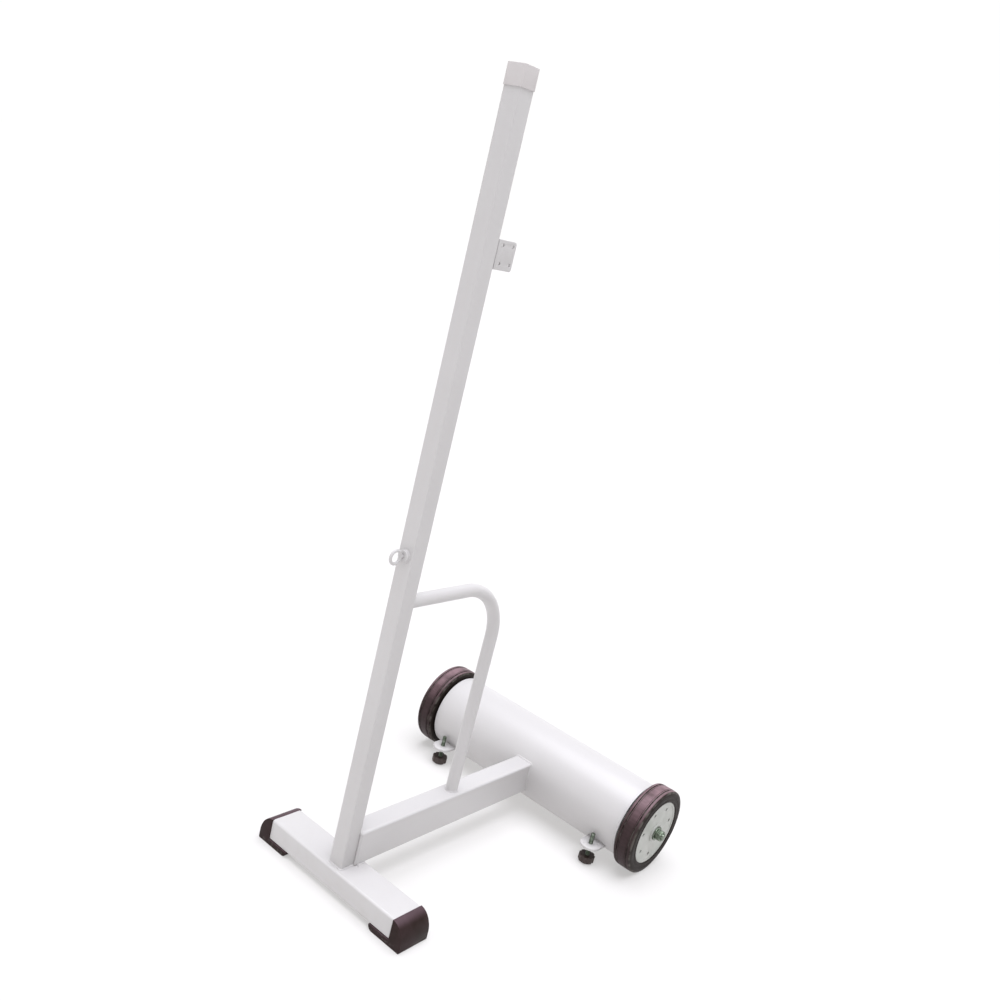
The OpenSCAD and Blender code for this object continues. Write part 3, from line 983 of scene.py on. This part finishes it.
@dataclass
class Counterweight(Assembly):
    """Weight tube, end plates, ballast, stub axles and brackets."""

    edge: float = 1.5 * MM
    inner_edge: float = 0.5 * MM
    wall: float = 5 * MM
    facets: int = 160
    end_weld_r: float = 0.6 * MM
    end_weld_steps: int = 120
    spine_weld_r: float = 2.6 * MM
    spine_corner: float = 5 * MM
    spine_step: float = 2 * MM
    bracket_edge: float = 0.8 * MM
    bracket_weld_r: float = 1.5 * MM
    thread_root: float = 7.6 * MM
    thread_depth: float = 0.75 * MM
    thread_pitch: float = 2 * MM
    axle_chamfer: float = 0.8 * MM
    hexagon_angle: float = 25.0

    def build(self) -> None:
        """Makes the weight and what is welded to it."""
        box = Extent.of("weight_tube")
        half, outer = box.size.x / 2, box.size.z / 2
        inner = outer - self.wall
        inside = [(x, inner, self.inner_edge) for x in (-half, half)]
        outside = [(x, outer, self.edge) for x in (half, -half)]
        shell = lathe("weight_shell", rounded_outline(inside + outside), self.facets, box.centre)
        self.settle(shell, Slot.WHITE, "weight_tube")
        self.keep("end_plates", Slot.WHITE)
        self.keep("ballast", Slot.IRON)
        self.end_welds(box, inner)
        self.spine_weld(box, outer)
        self.soften("bracket_plates", "levelling_brackets", Slot.WHITE, self.bracket_edge)
        self.bracket_welds(box, outer)
        self.axle_ends()

    def end_welds(self, box: Extent, inner: float) -> None:
        """The ring of weld round each end plate."""
        reach, radius = Extent.of("end_plates").size.x / 2 - self.end_weld_r, inner - self.end_weld_r
        middles = [Vector((x, box.centre.y, box.centre.z)) for x in (-reach, reach)]
        rings = [circle_path(middle, WAY_X, radius, self.end_weld_steps) for middle in middles]
        self.weld("weld_end_plates", rings, self.end_weld_r)

    def spine_weld(self, box: Extent, outer: float) -> None:
        """The bead where the spine is coped to the tube."""
        spine = Extent.of("spine")
        half, low, high = spine.size.x / 2, spine.low.z, spine.high.z
        square = ((-half, low), (half, low), (half, high), (-half, high))
        corners = [(x, z, self.spine_corner) for x, z in square]
        path = [Vector((x, 0, z)) for x, z in rounded_outline(corners, 6)]
        loop = []
        for i, here in enumerate(path):
            ahead = path[(i + 1) % len(path)]
            parts = max(1, int((ahead - here).length / self.spine_step))
            for k in range(parts):
                p = here.lerp(ahead, k / parts)
                drop = p.z - box.centre.z
                loop.append(Vector((p.x, box.centre.y - sqrt(outer**2 - drop**2), p.z)))
        self.weld("weld_spine_weight", [loop], self.spine_weld_r)

    def bracket_welds(self, box: Extent, outer: float) -> None:
        """A bead above and below each bracket, where it meets the tube."""
        plates = Extent.of("levelling_brackets")
        half = plates.size.x / 2 - Extent.of("screw_right").centre.x - 2.5 * MM
        beads = []
        for side in Side:
            middle = Extent.of(f"screw_{side.word}").centre.x
            for height in (plates.low.z, plates.high.z):
                y = box.centre.y - sqrt(outer**2 - (height - box.centre.z) ** 2)
                beads.append([Vector((x, y, height)) for x in (middle - half, middle + half)])
        self.weld("weld_brackets", beads, self.bracket_weld_r, closed=False)

    def axle_ends(self) -> None:
        """Stub axles, spacers, washers and nuts, and the thread that shows past each nut."""
        edges = {"axle_spacers": 0.5, "axle_washers": 0.4, "axle_nuts": 1.0, "stub_axles": 1.0}
        for node, edge in edges.items():
            angle = self.hexagon_angle if node == "axle_nuts" else 40.0
            self.soften(f"{node}_turned", node, Slot.ZINC, edge * MM, angle=angle)
        axle, nut = Extent.of("stub_axles"), Extent.of("axle_nuts")
        start, end = nut.size.x / 2, axle.size.x / 2 - self.axle_chamfer
        lie = Matrix.Rotation(pi / 2, 4, "Y")
        for side in Side:
            low = min(side.value * start, side.value * end)
            place = Matrix.Translation((low, axle.centre.y, axle.centre.z)) @ lie
            form = (self.thread_root, self.thread_depth, self.thread_pitch)
            rod = thread(f"axle_thread_{side.word}", *form, end - start, place, self.finishes[Slot.ZINC])
            self.settle(rod, Slot.ZINC)


@dataclass
class Wheel(Assembly):
    """One tyre on its hub, with the two bushes."""

    side: Side = Side.RIGHT
    facets: int = 160
    hub_edge: float = 0.9 * MM
    bush_edge: float = 0.5 * MM
    bead_r: float = 77.2 * MM

    def build(self) -> None:
        """Makes the wheel."""
        word = self.side.word
        self.body = f"wheel_{word}"
        self.tyre(f"tyre_{word}")
        self.soften(f"hub_{word}_moulding", f"hub_{word}", Slot.HUB, self.hub_edge, 3)
        self.soften(f"bushes_{word}_turned", f"bushes_{word}", Slot.NYLON, self.bush_edge)

    def tyre(self, node: str) -> None:
        """The solid tyre with its rounded shoulders and four tread grooves."""
        box = Extent.of(node)
        half, outer = box.size.x / 2, box.size.z / 2
        # Each corner in mm: from the middle plane, below the tread, rounding.
        tread = (
            (0.0, 0.0, 0.0), (8.5, 0.0, 0.0), (8.8, 0.8, 0.2), (9.6, 0.8, 0.2), (9.9, 0.1, 0.0),
            (11.5, 0.1, 0.3), (11.9, 2.0, 0.4), (14.1, 2.0, 0.4), (14.5, 0.1, 0.3),
        )
        # The same, but from the side face.
        wall = (
            (3.0, 1.0, 3.0), (0.5, 8.5, 4.0), (0.0, 13.0, 0.6), (0.0, 14.5, 0.4),
            (0.5, 15.0, 0.3), (0.5, 21.0, 0.3), (0.0, 21.5, 0.3), (0.0, 23.5, 0.6),
        )
        right = [(x * MM, outer - drop * MM, r * MM) for x, drop, r in tread]
        right += [(half - x * MM, outer - drop * MM, r * MM) for x, drop, r in wall]
        right.append((half - 1.2 * MM, self.bead_r, 0.5 * MM))
        left = [(-x, radius, r) for x, radius, r in reversed(right[1:])]
        piece = lathe(f"{node}_rubber", rounded_outline(right + left), self.facets, box.centre)
        self.settle(piece, Slot.TYRE, node)


@dataclass
class LevellingFoot(Assembly):
    """Screw, knob and glide under one bracket."""

    side: Side = Side.RIGHT
    knob_edge: float = 1.4 * MM
    glide_edge: float = 0.6 * MM
    thread_cut: float = 0.7 * MM
    thread_depth: float = 0.62 * MM
    thread_pitch: float = 1.5 * MM

    def build(self) -> None:
        """Makes the levelling foot."""
        word = self.side.word
        self.body = f"level_screw_{word}"
        box = Extent.of(f"screw_{word}")
        form = (box.size.x / 2 - self.thread_cut, self.thread_depth, self.thread_pitch)
        place = Matrix.Translation((box.centre.x, box.centre.y, box.low.z))
        rod = thread(f"screw_{word}_thread", *form, box.size.z, place, self.finishes[Slot.ZINC])
        self.settle(rod, Slot.ZINC, f"screw_{word}")
        self.soften(f"knob_{word}_grip", f"knob_{word}", Slot.KNOB, self.knob_edge, 3, 38.0)
        self.body = f"level_foot_{word}"
        self.soften(f"glide_{word}_pad", f"glide_{word}", Slot.NYLON, self.glide_edge)


# ---------- studio


@dataclass(frozen=True)
class Softbox:
    """An area light."""

    name: str
    place: Triple
    aim: Triple
    size: float
    power: float

    def build(self) -> None:
        """Puts the light up."""
        lamp = bpy.data.lights.new(self.name, "AREA")
        lamp.shape = "DISK"
        lamp.size = self.size
        lamp.energy = self.power
        holder = link(self.name, lamp)
        holder.location = self.place
        holder.visible_camera = False
        way = Vector(self.aim) - Vector(self.place)
        holder.rotation_euler = way.to_track_quat("-Z", "Y").to_euler()


@dataclass
class Studio:
    """Floor, lights and camera."""

    azimuth: float = 37.408
    elevation: float = 17.603
    roll: float = 13.693
    distance: float = 2.098
    right_shift: float = -0.07463
    up_shift: float = 0.03605
    aim: Triple = (0.0, 0.25, 0.65)
    lens: float = 37.567
    shift_x: float = 0.04
    shift_y: float = 0.05
    sensor: float = 36.0
    view_reach: float = 100.0
    floor_half: float = 60.0
    paper: tuple[Rgb, Rgb] = ((0.365, 0.358, 0.355), (0.375, 0.368, 0.365))
    paper_glow: float = 0.43
    glow_colour: Rgb = (1.0, 0.99, 0.985)
    horizon: float = 1.02
    zenith: float = 0.26
    sky_band: Point = (0.27, 0.6)
    sky_colour: Rgb = (1.0, 0.995, 0.99)
    sun_power: float = 4.2
    sun_spread: float = 60.0
    sun_tilt: Point = (1.0, 2.0)
    sun_colour: Rgb = (0.945, 0.95, 1.0)
    softboxes: tuple[Softbox, ...] = (
        Softbox("strip_back", (-0.6, 2.6, 2.6), (0.0, 0.3, 0.1), 2.2, 6.0),
        Softbox("fill_low", (-0.2, -1.7, 0.35), (0.0, 0.25, 0.05), 1.0, 2.4),
    )

    def build(self, bar_y: float) -> None:
        """Sets up everything round the object, whose crossbar lies at bar_y."""
        self.floor()
        self.world()
        self.overhead()
        for light in self.softboxes:
            light.build()
        self.camera(bar_y)

    def overhead(self) -> None:
        """One very wide light from above, even over the whole floor."""
        lamp = bpy.data.lights.new("overhead_light", "SUN")
        lamp.energy = self.sun_power
        lamp.angle = radians(self.sun_spread)
        lamp.color = self.sun_colour
        link("overhead_light", lamp).rotation_euler = (*(radians(v) for v in self.sun_tilt), 0.0)

    def floor(self) -> None:
        """A plain pale floor that glows a little, as a light table does."""
        h = self.floor_half
        mesh = bpy.data.meshes.new("studio_floor")
        mesh.from_pydata([(-h, -h, 0.0), (h, -h, 0.0), (h, h, 0.0), (-h, h, 0.0)], [], [(0, 1, 2, 3)])
        plane = link("studio_floor", mesh)
        web = Paintwork("studio_paper")
        tone = web.blend(web.noise(2.0, 2.0), *self.paper)
        plain = {
            "Specular IOR Level": 0.1,
            "Emission Strength": self.paper_glow,
            "Emission Color": (*self.glow_colour, 1.0),
        }
        mesh.materials.append(web.finish(tone, web.noise(3.0) * 0.1 + 0.75, [], plain))

    def world(self) -> None:
        """A white surround, greyer overhead."""
        world = bpy.data.worlds.new("studio_white")
        world.use_nodes = True
        web = Web(world.node_tree)
        dimmed = web.height(web.add("ShaderNodeTexCoord", output="Generated")).smooth(*self.sky_band)
        strength = self.horizon - dimmed * (self.horizon - self.zenith)
        panel = world.node_tree.nodes["Background"]
        web.join(strength, panel.inputs["Strength"])
        panel.inputs["Color"].default_value = (*self.sky_colour, 1.0)
        bpy.context.scene.view_settings.view_transform = "Standard"
        bpy.context.scene.world = world

    def camera(self, bar_y: float) -> None:
        """The camera, turned about its own axis as well."""
        a, e, r = (radians(v) for v in (self.azimuth, self.elevation, self.roll))
        back = Vector((sin(a) * cos(e), -cos(a) * cos(e), sin(e)))
        level = Vector((cos(a), sin(a), 0.0))
        upright = back.cross(level)
        right = level * cos(r) + upright * sin(r)
        up = upright * cos(r) - level * sin(r)
        place = Vector(self.aim) + back * self.distance + level * self.right_shift + upright * self.up_shift
        place.y += bar_y
        lens = bpy.data.cameras.new("studio_camera")
        lens.sensor_width = self.sensor
        lens.lens = self.lens
        lens.shift_x = self.shift_x
        lens.shift_y = self.shift_y
        lens.clip_end = self.view_reach
        eye = link("studio_camera", lens)
        turn = Matrix((right, up, back)).transposed().to_4x4()
        eye.matrix_world = Matrix.Translation(place) @ turn
        bpy.context.scene.camera = eye


def main() -> None:
    """Sets up the studio, then makes and logs every sub-assembly."""
    logging.basicConfig(level=logging.INFO, format="%(name)s %(message)s")
    Studio().build(Extent.of("crossbar").centre.y)
    finishes = build_finishes()
    parts: list[Assembly] = [Base(finishes), Mast(finishes), Counterweight(finishes)]
    parts += [Wheel(finishes, side=side) for side in Side]
    parts += [LevellingFoot(finishes, side=side) for side in Side]
    for part in parts:
        part.build()
        part.report()


if __name__ == "__main__":
    main()
